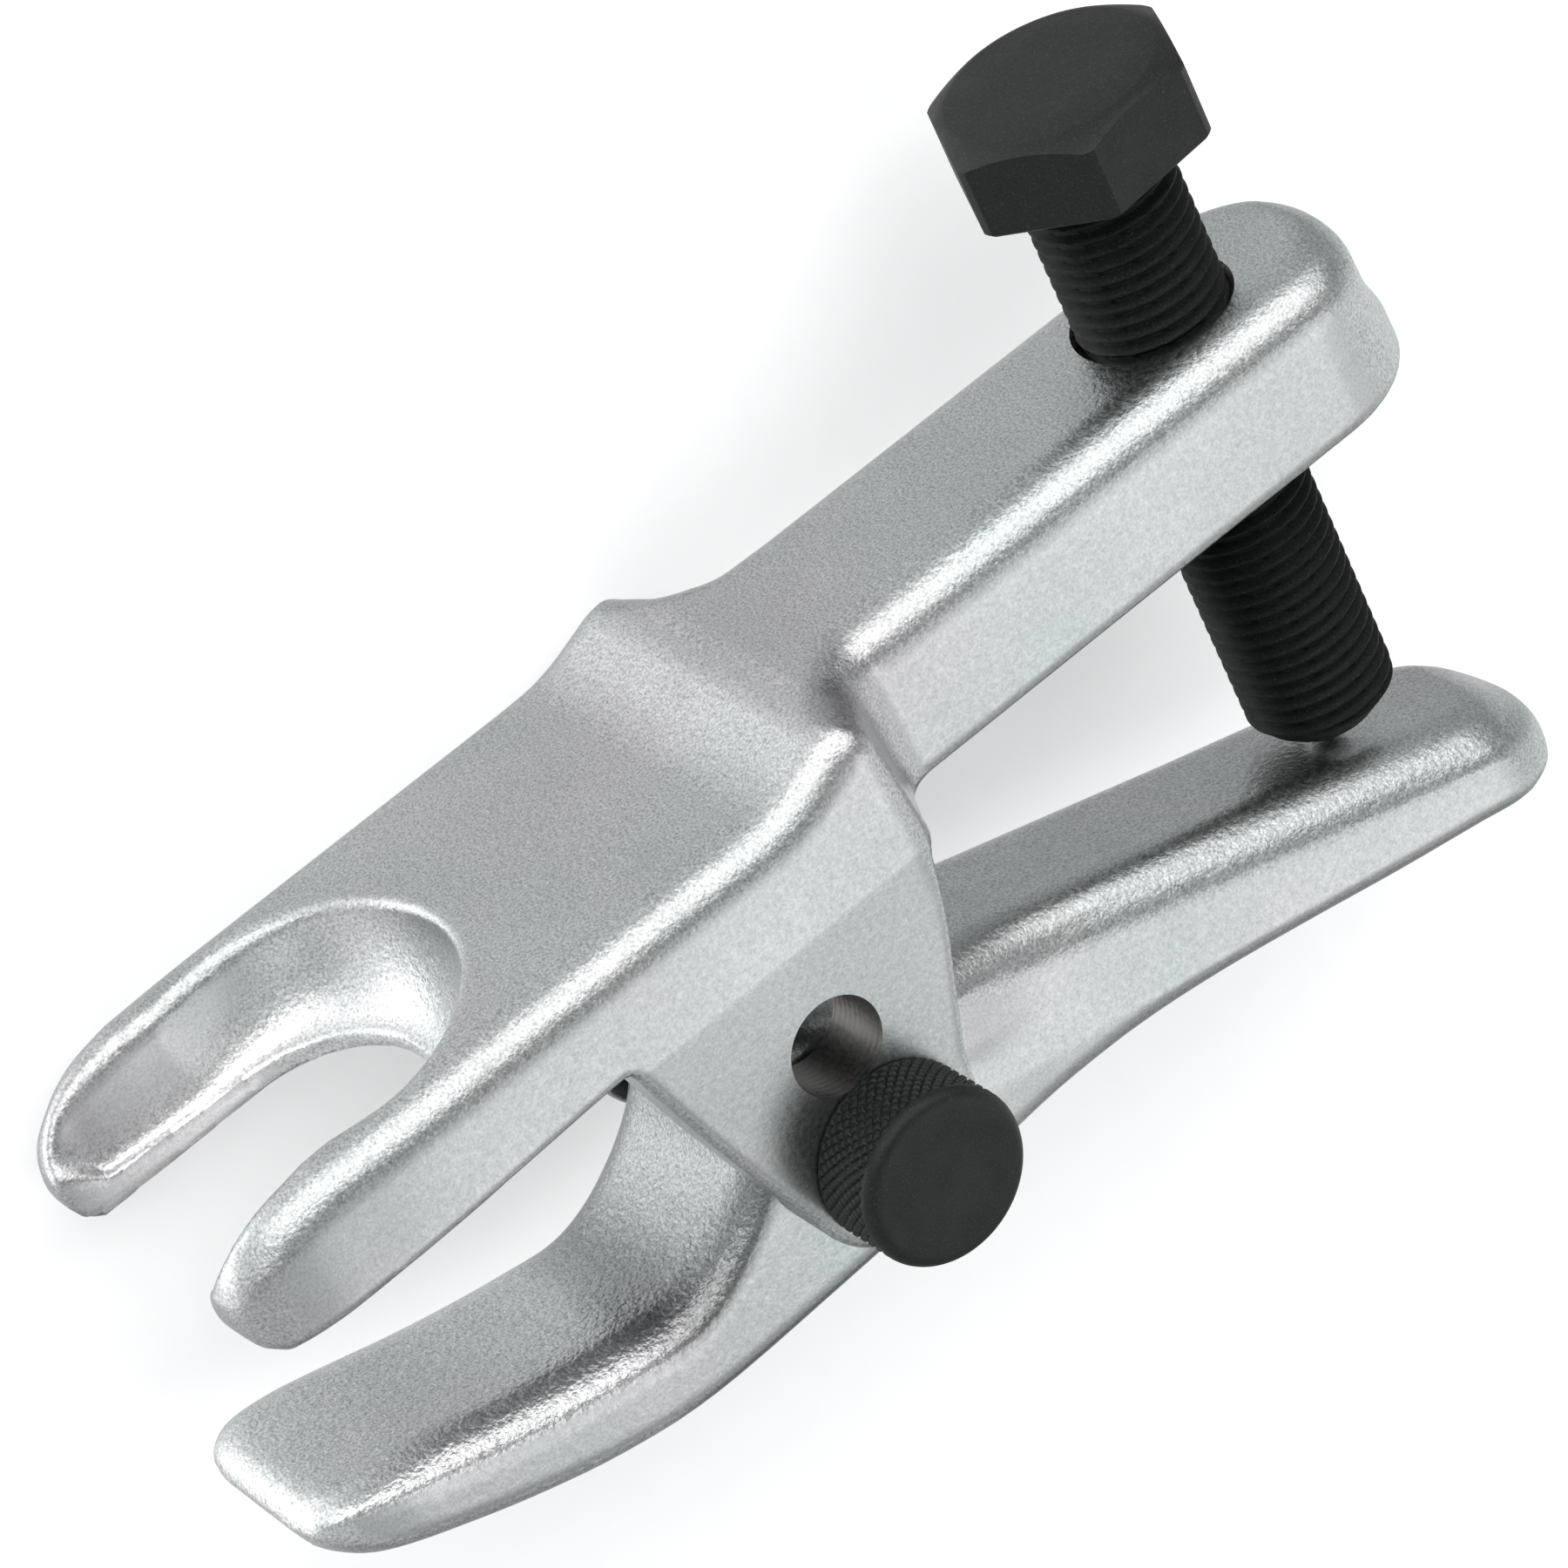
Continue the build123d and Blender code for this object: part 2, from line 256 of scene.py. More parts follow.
FORK_PLAN = outline(
    (TIP_X, -40.0),
    (TIP_X, 14.6),
    curve([
        (TIP_X + 0.3, 16.0), (TIP_X + 1.6, 17.9), (TIP_X + 4.2, 19.4), (TIP_X + 8.0, 20.4),
        (TIP_X + 13.5, HALF_WIDTH - 0.35), (TIP_X + 20.0, HALF_WIDTH - 0.05), (TIP_X + 27.0, HALF_WIDTH),
    ]),
    (SHOULDER_X - 4.0, HALF_WIDTH),
    arc((SHOULDER_X - 4.0, HALF_WIDTH - 4.0), 4.0, 80, 10, 8),
    (SHOULDER_X + 3.0, ARM_HALF - 1.0),
    (SHOULDER_X + 3.0, -40.0),
)
ARM_PLAN = outline(
    (0.0, -ARM_HALF),
    (0.0, ARM_HALF),
    (ARM_END_X - ARM_HALF, ARM_HALF),
    arc((ARM_END_X - ARM_HALF, 0), ARM_HALF, 85, -85, 24),
    (ARM_END_X - ARM_HALF, -ARM_HALF),
)
CHEEK_SIDE = outline(
    (-18.2, BODY_BOTTOM + 3.0),
    curve([(-17.5, ROOT_BOTTOM), (-13.9, 11.3), (-11.4, 4.3), (-9.1, -1.6)], 4),
    arc((0, 0), LUG_R, 192, 352, 24),
    curve([(9.7, 3.0), (11.9, 10.0), (13.6, 15.2), (15.5, 22.0), (16.4, 29.0)], 4),
)
SLOT_FLARE = curve([
    (TIP_X + 3.4, SLOT_TIP_HALF), (TIP_X + 1.6, SLOT_TIP_HALF + 0.25), (TIP_X + 0.4, SLOT_TIP_HALF + 0.9),
    (TIP_X - 0.6, SLOT_TIP_HALF + 2.2), (TIP_X - 8.0, SLOT_TIP_HALF + 9.0),
], 4)
SLOT_PLAN = outline(SLOT_FLARE[::-1] * (1, -1), arc((SLOT_CENTRE_X, 0), SLOT_HALF, -88, 88, 50), SLOT_FLARE)
RIM_PLAN = outline(
    (TIP_X - 1.5, 0.0),
    (TIP_X - 1.5, SLOT_TIP_HALF - 1.6),
    curve([
        (TIP_X - 1.1, SLOT_TIP_HALF), (TIP_X + 0.8, RIM_HALF - 0.5), (TIP_X + 4.0, RIM_HALF + 0.5),
        (TIP_X + 8.0, RIM_HALF + 0.4),
    ]),
    (RIM_CENTRE_X - 6.0, RIM_HALF + 0.15),
    arc((RIM_CENTRE_X, 0), RIM_R, 100, 0, 30),
)
RIM_PLAN = outline(RIM_PLAN, RIM_PLAN[::-1] * (1, -1))
CORE_PLAN = outline(
    (TIP_X + 5.4, -SLOT_TIP_HALF - 0.4),
    arc((SLOT_CENTRE_X, 0), SLOT_HALF + 0.4, -88, 88, 50),
    (TIP_X + 5.4, SLOT_TIP_HALF + 0.4),
)


def fork_body(x, y, u):
    """Signed distance to the fork arm before its dish and slot; u is the distance from the mid-plane."""
    side = distance(x, y, FORK_SIDE)
    cheek = meet(distance(x, y, CHEEK_SIDE), CHEEK_INNER - u, CHEEK_EDGE_R)
    walls = join(side, cheek, CHEEK_ROOT_END_R + CHEEK_ROOT_R * (1 - ramp(np.abs(x), *ROOT_FILLET_ENDS)))
    plan = join(distance(x, u, FORK_PLAN), distance(x, u, ARM_PLAN), SHOULDER_FILLET_R)
    draft = BODY_DRAFT + (ARM_DRAFT - BODY_DRAFT) * ramp(x, *BODY_TO_ARM_DRAFT)
    plan = plan + draft * np.maximum(y - PARTING_Y, 0)
    beside_cheeks = ramp(-x, *AHEAD_OF_CHEEKS) + ramp(x, *BEHIND_CHEEKS)
    low_r = CHEEK_EDGE_R + (LOW_EDGE_R - CHEEK_EDGE_R) * beside_cheeks
    top_r = EDGE_R + (ARM_EDGE_R - EDGE_R) * ramp(x, *BODY_TO_ARM_EDGE)
    edge_r = low_r + (top_r - low_r) * ramp(y, BODY_BOTTOM + 3, BODY_BOTTOM + 9)
    return meet(walls, plan, edge_r)


def fork_dish(x, y, u):
    """Signed distance to the dish around the slot, and the radius of its rim.

    From the slot's ledge out to the rim the dish rises as a quarter of a superellipse.
    """
    rim = distance(x, u, RIM_PLAN)
    out = np.maximum(distance(x, u, CORE_PLAN), 0)
    width = np.maximum(out - rim, 0.3)
    top = np.interp(x, TIP_TOP[:, 0], TIP_TOP[:, 1])
    rise = top - LEDGE_Y
    across = out / width
    down = np.maximum(top - y, 0) / rise
    reach = (across**DISH_POWER + down**DISH_POWER) ** (1 / DISH_POWER)
    slope = np.hypot(across ** (DISH_POWER - 1) / width, down ** (DISH_POWER - 1) / rise) + 1e-9
    dish = np.where(reach < 1e-6, -rise, (reach - 1) * reach ** (DISH_POWER - 1) / slope)
    soft = ramp(x, *RIM_SOFTENS) * (1 - ramp(x, *RIM_CRISPENS))
    return np.maximum(dish, rim - 0.2), RIM_TIP_EDGE_R + (RIM_EDGE_R - RIM_TIP_EDGE_R) * soft


def fork_field(x, y, z):
    """Signed distance to the fork arm without its bores."""
    u = np.abs(z - MID)
    dish, rim_r = fork_dish(x, y, u)
    solid = meet(fork_body(x, y, u), -dish, rim_r)
    return meet(solid, -distance(x, u, SLOT_PLAN), SLOT_EDGE_R)


def pad_line(x):
    """Height of the lever's sloping top at x."""
    return PAD_Y - PAD_SLOPE * (x - SCREW_X)


LEVER_SIDE = outline(
    curve([
        (LEVER_TIP_X, -3.2), (-57.3, -1.6), (-55.0, -0.95), (-51.5, -1.2), (-45.0, -2.4), (-38.0, -4.4),
        (-32.0, -5.9), (-26.0, -7.1), (-21.0, -7.8), (-17.0, -6.8), (-13.0, -4.4), (-10.0, -1.7),
        (-8.4, 0.6),
    ], 5),
    arc((0, 0), HUB_R, 172, 66, 18),
    curve([(6.0, 6.4), (10.0, 4.6), (16.0, pad_line(16.0)), (24.0, pad_line(24.0))], 5),
    (70.0, pad_line(70.0)),
    curve([
        (75.6, pad_line(75.6)), (79.4, pad_line(79.4) - 0.7), (81.2, -19.0), (LEVER_END_X, -20.8),
        (80.8, -23.4), (78.2, -25.0), (74.2, -24.8),
    ], 5),
    curve([
        (68.3, -23.5), (58.4, -21.6), (48.6, -19.5), (38.9, -17.6), (30.0, -16.4), (20.0, -16.0),
        (8.0, -16.4), (-6.0, -17.1), (-20.7, -17.5), (-30.4, -16.1), (-39.6, -13.4), (-48.2, -10.1),
        (-53.5, -7.9), (-57.0, -5.6),
    ], 5),
)
LEVER_PLAN = outline(
    (LEVER_TIP_X, -30.0),
    (LEVER_TIP_X, 5.0),
    curve([
        (LEVER_TIP_X + 0.4, 6.9), (LEVER_TIP_X + 1.8, 9.0), (LEVER_TIP_X + 4.6, 10.6),
        (LEVER_TIP_X + 9.0, LEVER_HALF - 0.1), (LEVER_TIP_X + 14.0, LEVER_HALF),
    ], 5),
    (8.0, LEVER_HALF),
    curve([(14.0, LEVER_HALF - 0.1), (20.0, LEVER_REAR_HALF + 0.2), (28.0, LEVER_REAR_HALF)], 5),
    arc((LEVER_END_X - LEVER_REAR_HALF, 0), LEVER_REAR_HALF, 88, 0, 20),
    (LEVER_END_X, -30.0),
)


LEVER_MIDDLE = np.array([            # a line between the lever's top and its underside
    (-58, -4), (-40, -8.5), (-21, -12), (-8, -7), (8, -5), (24, -8), (84, -21),
])


def lever_field(x, y, z):
    """Signed distance to the lever arm without its bore."""
    u = np.abs(z - MID)
    side = distance(x, y, LEVER_SIDE)
    plan = distance(x, u, LEVER_PLAN)
    past = CROWN_PAST_NOSE + (CROWN_PAST - CROWN_PAST_NOSE) * ramp(x, *NOSE_TO_JAW)
    crown = meet(side, plan - past, CROWN_R)
    jaw = meet(crown, plan, CREASE_R)
    middle = np.interp(x, LEVER_MIDDLE[:, 0], LEVER_MIDDLE[:, 1])
    rear = ramp(x, *JAW_TO_REAR)
    lean = rear * REAR_DRAFT * np.clip(y - middle + REAR_DRAFT_START, 0, REAR_DRAFT_HEIGHT)
    tail_r = LEVER_TOP_R + (LEVER_FAR_R - LEVER_TOP_R) * ramp(MID - z, 1, 5)
    tail = meet(side, plan + lean, tail_r)
    top = jaw + (tail - jaw) * rear
    low = meet(side, plan + lean, LEVER_LOW_R)
    return low + (top - low) * ramp(y - middle, -1.5, 1.5)


def surface_net(field, low, high, step):
    """Quads over the zero surface of a field, one vertex to a cell, moved onto the surface."""
    axes = [np.arange(a - 2 * step, b + 2 * step, step) for a, b in zip(low, high)]
    x, y, z = np.ix_(*axes)
    values = np.broadcast_to(field(x, y, z), [len(a) for a in axes]).astype(np.float32)
    inside = values < 0
    cells = tuple(n - 1 for n in values.shape)
    total = np.zeros(cells + (3,), dtype=np.float32)
    count = np.zeros(cells, dtype=np.float32)
    corners = [(i, j, k) for i in (0, 1) for j in (0, 1) for k in (0, 1)]

    def part(array, offset):
        return array[tuple(slice(o, o + n) for o, n in zip(offset, cells))]

    for corner in corners:
        for axis in range(3):
            if corner[axis]:
                continue
            other = tuple(c + (i == axis) for i, c in enumerate(corner))
            a, b = part(values, corner), part(values, other)
            hit = (a < 0) != (b < 0)
            t = np.where(hit, a / np.where(hit, a - b, 1), 0)
            count += hit
            for i in range(3):
                total[..., i] += np.where(hit, corner[i] + (t if i == axis else 0), 0)
    active = count > 0
    index = np.full(cells, -1, dtype=np.int64)
    index[active] = np.arange(active.sum())
    local = total[active] / count[active][:, None]
    origin = np.array([a[0] for a in axes])
    points = origin + step * (np.argwhere(active) + local)
    faces = []
    for axis in range(3):
        ahead = [slice(None)] * 3
        behind = [slice(None)] * 3
        ahead[axis] = slice(1, None)
        behind[axis] = slice(None, -1)
        change = inside[tuple(behind)] != inside[tuple(ahead)]
        first, second = [i for i in range(3) if i != axis]
        at = np.argwhere(change)
        at = at[(at[:, first] > 0) & (at[:, second] > 0)]
        ring = []
        for a, b in ((1, 1), (0, 1), (0, 0), (1, 0)):
            cell = at.copy()
            cell[:, first] -= a
            cell[:, second] -= b
            ring.append(index[tuple(cell.T)])
        quad = np.stack(ring, axis=1)
        outward = inside[tuple(at.T)] ^ (axis == 1)
        faces.append(np.where(outward[:, None], quad, quad[:, ::-1]))
    h = PROBE
    for _ in range(SETTLE_ROUNDS):
        px, py, pz = points.T
        f = field(px, py, pz)
        gradient = np.stack([
            field(px + h, py, pz) - field(px - h, py, pz),
            field(px, py + h, pz) - field(px, py - h, pz),
            field(px, py, pz + h) - field(px, py, pz - h),
        ], axis=1) / (2 * h)
        size2 = np.maximum((gradient**2).sum(axis=1), 0.2)
        shift = -(f / size2)[:, None] * gradient
        points = points + np.clip(shift, -LONGEST_SHIFT * step, LONGEST_SHIFT * step)
    return points, np.vstack(faces)


def add_mesh(name, points, faces, material, sharp=None):
    """A mesh object from points in millimetres; edges over `sharp` degrees stay crisp."""
    mesh = bpy.data.meshes.new(name)
    mesh.from_pydata((np.asarray(points) * MM).tolist(), [], [tuple(int(i) for i in f) for f in faces])
    mesh.update()
    mesh.materials.append(material)
    mesh.shade_smooth()
    if sharp:
        mesh.set_sharp_from_angle(angle=math.radians(sharp))
    obj = bpy.data.objects.new(name, mesh)
    bpy.context.scene.collection.objects.link(obj)
    return obj


def ring_faces(rings, sides):
    """Faces over rings of points, closed by fans to the two centre points that follow the rings."""
    i = np.arange(sides)
    j = (i + 1) % sides
    start = np.arange(rings - 1)[:, None] * sides
    quads = np.stack([start + i, start + sides + i, start + sides + j, start + j], axis=-1)
    faces = quads.reshape(-1, 4).tolist()
    centre = rings * sides
    last = centre - sides
    faces += [[centre, a, b] for a, b in zip(i.tolist(), j.tolist())]
    faces += [[centre + 1, last + b, last + a] for a, b in zip(i.tolist(), j.tolist())]
    return faces


def turned(profile, sides, relief=None):
    """A turned solid about Z: profile points (radius, z) from the top's centre to the bottom's centre.

    relief(angle, z) is taken off the radius where the profile isn't at the axis.
    """
    profile = np.array(profile, dtype=float)
    angle = np.linspace(0, 2 * np.pi, sides, endpoint=False)
    rings = profile[1:-1]
    radius = np.broadcast_to(rings[:, :1], (len(rings), sides)).copy()
    height = np.broadcast_to(rings[:, 1:], (len(rings), sides))
    if relief is not None:
        radius -= relief(angle[None, :], height)
    x, y = radius * np.cos(angle), radius * np.sin(angle)
    points = np.stack([x, y, height], axis=-1).reshape(-1, 3)
    points = np.vstack([points, [[0, 0, profile[0, 1]], [0, 0, profile[-1, 1]]]])
    return points, ring_faces(len(rings), sides)


def cutter(points, faces):
    """An object used once to cut another; its material goes onto the cut faces."""
    return add_mesh("cutter", points, faces, bored)


def cut(obj, tools):
    """Cut holes with crisp edges and a machined surface into a forging."""
    for tool in tools:
        change = obj.modifiers.new("cut", "BOOLEAN")
        change.operation = "DIFFERENCE"
        change.solver = "EXACT"
        change.material_mode = "TRANSFER"
        change.object = tool
    depsgraph = bpy.context.evaluated_depsgraph_get()
    mesh = bpy.data.meshes.new_from_object(obj.evaluated_get(depsgraph))
    obj.modifiers.clear()
    obj.data = mesh
    for tool in tools:
        bpy.data.objects.remove(tool)
    mesh.shade_smooth()
    mesh.set_sharp_from_angle(angle=math.radians(CUT_SHARP_ANGLE))


def along_z(x, y, radius, low, high, sides=96):
    """A cylinder along Z."""
    points, faces = turned([(0, high), (radius, high), (radius, low), (0, low)], sides)
    return cutter(points + (x, y, 0), faces)


def stand(points, x):
    """Turn a solid made about Z so that its axis runs along Y, on the mid-plane at x."""
    px, py, pz = np.asarray(points).T
    return np.stack([x + px, pz, MID - py], axis=1)


def make_fork_arm():
    """The fork arm, with its screw hole, pivot hole and spare pivot hole."""
    points, faces = surface_net(fork_field, FORK_LOW, FORK_HIGH, GRID_STEP)
    obj = add_mesh("fork_arm_forged", points, faces, forged)
    flare = SCREW_HOLE_MOUTH_R - SCREW_HOLE_R
    hole = [
        (0, ARM_TOP + 1), (SCREW_HOLE_MOUTH_R + 1, ARM_TOP + 1), (SCREW_HOLE_R, ARM_TOP - flare),
        (SCREW_HOLE_R, BODY_BOTTOM + flare), (SCREW_HOLE_MOUTH_R + 1, BODY_BOTTOM - 1), (0, BODY_BOTTOM - 1),
    ]
    tools = []
    hole_points, hole_faces = turned(hole, 96)
    tools.append(cutter(stand(hole_points, SCREW_X), hole_faces))
    for x, y in ((0, 0), (SPARE_X, SPARE_Y)):
        tools.append(along_z(x, y, TAPPED_R, -2, MID))
        tools.append(along_z(x, y, BORE_R, MID, 2 * MID + 2))
    cut(obj, tools)
    return obj


def make_lever_arm():
    """The lever arm, with its pivot hole."""
    points, faces = surface_net(lever_field, LEVER_LOW, LEVER_HIGH, GRID_STEP)
    obj = add_mesh("lever_arm_forged", points, faces, forged_lever)
    cut(obj, [along_z(0, 0, BORE_R, 0, 2 * MID)])
    return obj


# ---------------------------------------------------------------- screw and pin
def thread_relief(pitch, depth, low, high):
    """Depth of a right-hand thread below its crest, fading out at both ends."""
    def relief(angle, z):
        phase = (z / pitch - angle / (2 * np.pi)) % 1.0
        groove = np.clip(THREAD_ROOT - np.abs(phase - 0.5) * THREAD_FLANK, 0, 1)
        fade = ramp(z, low, low + pitch) * (1 - ramp(z, high - pitch, high))
        return depth * groove * fade
    return relief


def make_screw():
    """The screw's threaded shank with its chamfered end and ball seat."""
    end_y = (BALL_LOW[1] + BALL_HIGH[1]) / 2 - BALL_RISE
    neck_y = SCREW_HIGH[1] - HEAD_HEIGHT
    thread_low = end_y + END_CHAMFER * 0.4
    step = THREAD_PITCH / 12
    heights = np.arange(neck_y - 1.0, end_y + END_CHAMFER, -step)
    profile = [(0, neck_y + 1), (NECK_R, neck_y + 1), (NECK_R, neck_y - 0.6)]
    profile += [(SCREW_R, h) for h in heights]
    profile += [(SCREW_R - 0.1, end_y + END_CHAMFER - 0.3)]
    for t in np.linspace(0.25, 1, 8):
        profile.append((SCREW_R + (END_FACE_R - SCREW_R) * t, end_y + END_CHAMFER * (1 - t)))
    profile += [(LIP_R, end_y - 0.05), (LIP_R - 0.05, end_y - 0.5), (LIP_R - 0.4, end_y - LIP_HEIGHT)]
    profile += [(SEAT_R, end_y - LIP_HEIGHT), (SEAT_R + 0.05, end_y - 0.3), (0, end_y + 2.0)]
    relief = thread_relief(THREAD_PITCH, THREAD_DEPTH, thread_low, neck_y - 0.8)
    points, faces = turned(profile, 120, relief)
    return add_mesh("screw_thread", stand(points, SCREW_X), faces, black_thread, sharp=50)


def make_head():
    """The hex head, with its turned chamfer on top and slightly broken edges."""
    sides = 144
    top = SCREW_HIGH[1]
    bottom = top - HEAD_HEIGHT
    angle = np.linspace(0, 2 * np.pi, sides, endpoint=False)
    sector = np.pi / 3
    from_flat = (angle + sector / 2) % sector - sector / 2
    apothem = HEAD_FLATS / 2
    corner = apothem / math.cos(sector / 2)
    radius = np.minimum(apothem / np.cos(from_flat), corner - HEAD_CORNER_BREAK)
    drop = (radius - HEAD_FACE_R) * math.tan(HEAD_CHAMFER)
    rings = [
        (HEAD_FACE_R * 0.5, top), (HEAD_FACE_R - 0.35, top), (HEAD_FACE_R, top - 0.08),
        (HEAD_FACE_R + (radius - HEAD_FACE_R) * 0.5, top - 0.05 - drop * 0.5),
        (radius - 0.22, top - drop + 0.05), (radius, top - drop - 0.15),
        (radius, bottom + 4.0), (radius, bottom + 0.3), (radius - 0.3, bottom), (7.5, bottom),
    ]
    points = [
        np.stack(np.broadcast_arrays(r * np.cos(angle), r * np.sin(angle), h), axis=1) for r, h in rings
    ]
    points = np.vstack(points + [[[0, 0, top]], [[0, 0, bottom]]])
    turn = Matrix.Rotation(math.pi / 6 + HEAD_TURN, 3, "Z")
    points = points @ np.array(turn).T
    faces = ring_faces(len(rings), sides)
    return add_mesh("screw_head", stand(points, SCREW_X), faces, black_head, sharp=24)


def knurl_relief(low, high):
    """Depth of a diamond knurl, fading out at both ends of the grip."""
    def relief(angle, z):
        pitch = 2 * np.pi * KNOB_R / KNURL_COUNT
        lean = z / pitch
        a = np.abs(((angle * KNURL_COUNT / (2 * np.pi) + lean) % 1.0) - 0.5) * 2
        b = np.abs(((angle * KNURL_COUNT / (2 * np.pi) - lean) % 1.0) - 0.5) * 2
        depth = np.maximum(1 - KNURL_SHARPNESS * np.minimum(a, b), 0)
        fade = ramp(z, low, low + 0.3) * (1 - ramp(z, high - 0.3, high))
        return KNURL_DEPTH * depth * fade
    return relief


def make_pin():
    """The pin: knurled head, plain shank, threaded end."""
    seat = KNOB_TOP - KNOB_HEIGHT
    grip_top = KNOB_TOP - KNOB_RIM_R
    profile = [(0, KNOB_TOP), (KNOB_R - KNOB_RIM_R - 0.4, KNOB_TOP)]
    for t in np.linspace(0, math.pi / 2, 9):
        out, up = KNOB_RIM_R * math.sin(t), KNOB_RIM_R * math.cos(t)
        profile.append((KNOB_R - KNOB_RIM_R + out, grip_top + up))
    for z in np.arange(grip_top - 0.1, seat + 0.45, -0.12):
        profile.append((KNOB_R, z))
    profile += [(KNOB_R, seat + 0.4), (KNOB_R - 0.12, seat + 0.12), (KNOB_R - 0.4, seat), (SHANK_R, seat)]
    shoulder = CHEEK_THICKNESS + 0.1
    profile += [(SHANK_R, shoulder + 0.3), (SHANK_R - 0.3, shoulder), (END_R, shoulder)]
    profile += [(END_R, 2 * END_HEIGHT), (END_R - END_HEIGHT, END_HEIGHT), (0, END_HEIGHT)]
    sides = 480
    points, faces = turned(profile, sides, knurl_relief(seat + 0.2, grip_top + 0.1))
    return add_mesh("pin_knurled", points, faces, black_pin, sharp=40)


# ---------------------------------------------------------------- materials
def tree(name):
    """A new material's node tree, with its principled shader."""
    material = bpy.data.materials.new(name)
    material.use_nodes = True
    nodes = material.node_tree.nodes
    return material, nodes, material.node_tree.links, nodes["Principled BSDF"]


def noise(nodes, links, scale, detail=2.0, rough=0.5):
    """A noise texture over object coordinates, scale in cells per metre."""
    coords = nodes.new("ShaderNodeTexCoord")
    texture = nodes.new("ShaderNodeTexNoise")
    texture.inputs["Scale"].default_value = scale
    texture.inputs["Detail"].default_value = detail
    texture.inputs["Roughness"].default_value = rough
    links.new(coords.outputs["Object"], texture.inputs["Vector"])
    return texture.outputs["Fac"]


def shades(nodes, links, source, stops):
    """A colour ramp on a source; stops are (position, colour)."""
    node = nodes.new("ShaderNodeValToRGB")
    while len(node.color_ramp.elements) < len(stops):
        node.color_ramp.elements.new(0.5)
    for element, (position, colour) in zip(node.color_ramp.elements, stops):
        element.position = position
        element.color = (*colour, 1)
    links.new(source, node.inputs["Fac"])
    return node.outputs["Color"]


def spread(nodes, links, source, low, high, start=0.3, end=0.7):
    """Map a source from start..end onto low..high."""
    node = nodes.new("ShaderNodeMapRange")
    node.inputs["From Min"].default_value = start
    node.inputs["From Max"].default_value = end
    node.inputs["To Min"].default_value = low
    node.inputs["To Max"].default_value = high
    links.new(source, node.inputs["Value"])
    return node.outputs["Result"]


def blend(nodes, links, factor, a, b):
    """A value that goes from a where the factor is 0 to b where it is 1."""
    node = nodes.new("ShaderNodeMix")
    links.new(factor, node.inputs["Factor"])
    links.new(a, node.inputs["A"])
    links.new(b, node.inputs["B"])
    return node.outputs["Result"]


def product(nodes, links, a, b):
    """Two values multiplied."""
    node = nodes.new("ShaderNodeMath")
    node.operation = "MULTIPLY"
    links.new(a, node.inputs[0])
    links.new(b, node.inputs[1])
    return node.outputs["Value"]


def tinted(nodes, links, a, b):
    """Two colours multiplied."""
    node = nodes.new("ShaderNodeMix")
    node.data_type = "RGBA"
    node.blend_type = "MULTIPLY"
    node.inputs["Factor"].default_value = 1.0
    links.new(a, node.inputs["A"])
    links.new(b, node.inputs["B"])
    return node.outputs["Result"]


def bumps(nodes, links, layers, shader):
    """Chain bump nodes; layers are (height source, strength, distance in metres)."""
    last = None
    for source, strength, depth in layers:
        node = nodes.new("ShaderNodeBump")
        node.inputs["Strength"].default_value = strength
        node.inputs["Distance"].default_value = depth
        links.new(source, node.inputs["Height"])
        if last is not None:
            links.new(last, node.inputs["Normal"])
        last = node.outputs["Normal"]
    links.new(last, shader.inputs["Normal"])


def coordinate(nodes, links, kind, axis):
    """One axis of a texture coordinate."""
    coords = nodes.new("ShaderNodeTexCoord")
    split = nodes.new("ShaderNodeSeparateXYZ")
    links.new(coords.outputs[kind], split.inputs["Vector"])
    return split.outputs[axis]


def facing(nodes, links, axis, low, high):
    """How squarely the surface faces along an object axis, 0 below low and 1 above high."""
    size = nodes.new("ShaderNodeMath")
    size.operation = "ABSOLUTE"
    links.new(coordinate(nodes, links, "Normal", axis), size.inputs[0])
    node = nodes.new("ShaderNodeMapRange")
    node.interpolation_type = "SMOOTHSTEP"
    node.inputs["From Min"].default_value = low
    node.inputs["From Max"].default_value = high
    links.new(size.outputs["Value"], node.inputs["Value"])
    return node.outputs["Result"]


def place(nodes, links, axis, full, gone):
    """1 before `full` along an object axis and 0 from `gone` on, both in millimetres, either way round."""
    return spread(nodes, links, coordinate(nodes, links, "Object", axis), 1.0, 0.0, full * MM, gone * MM)


def scaled(nodes, links, source, mask, at_zero, at_one):
    """A source multiplied by at_zero where the mask is 0 and by at_one where it is 1."""
    return product(nodes, links, source, spread(nodes, links, mask, at_zero, at_one, 0.0, 1.0))


def masked(nodes, links, kind, colour, tone, *masks):
    """Blend a tone into a colour where every mask is 1."""
    factor = masks[0]
    for mask in masks[1:]:
        factor = product(nodes, links, factor, mask)
    node = nodes.new("ShaderNodeMix")
    node.data_type = "RGBA"
    node.blend_type = kind
    node.inputs["B"].default_value = (*tone, 1)
    links.new(factor, node.inputs["Factor"])
    links.new(colour, node.inputs["A"])
    return node.outputs["Result"]


def grey(value):
    """A colour without hue."""
    return (value, value, value)


ZINC = (0.505, 0.515, 0.515)


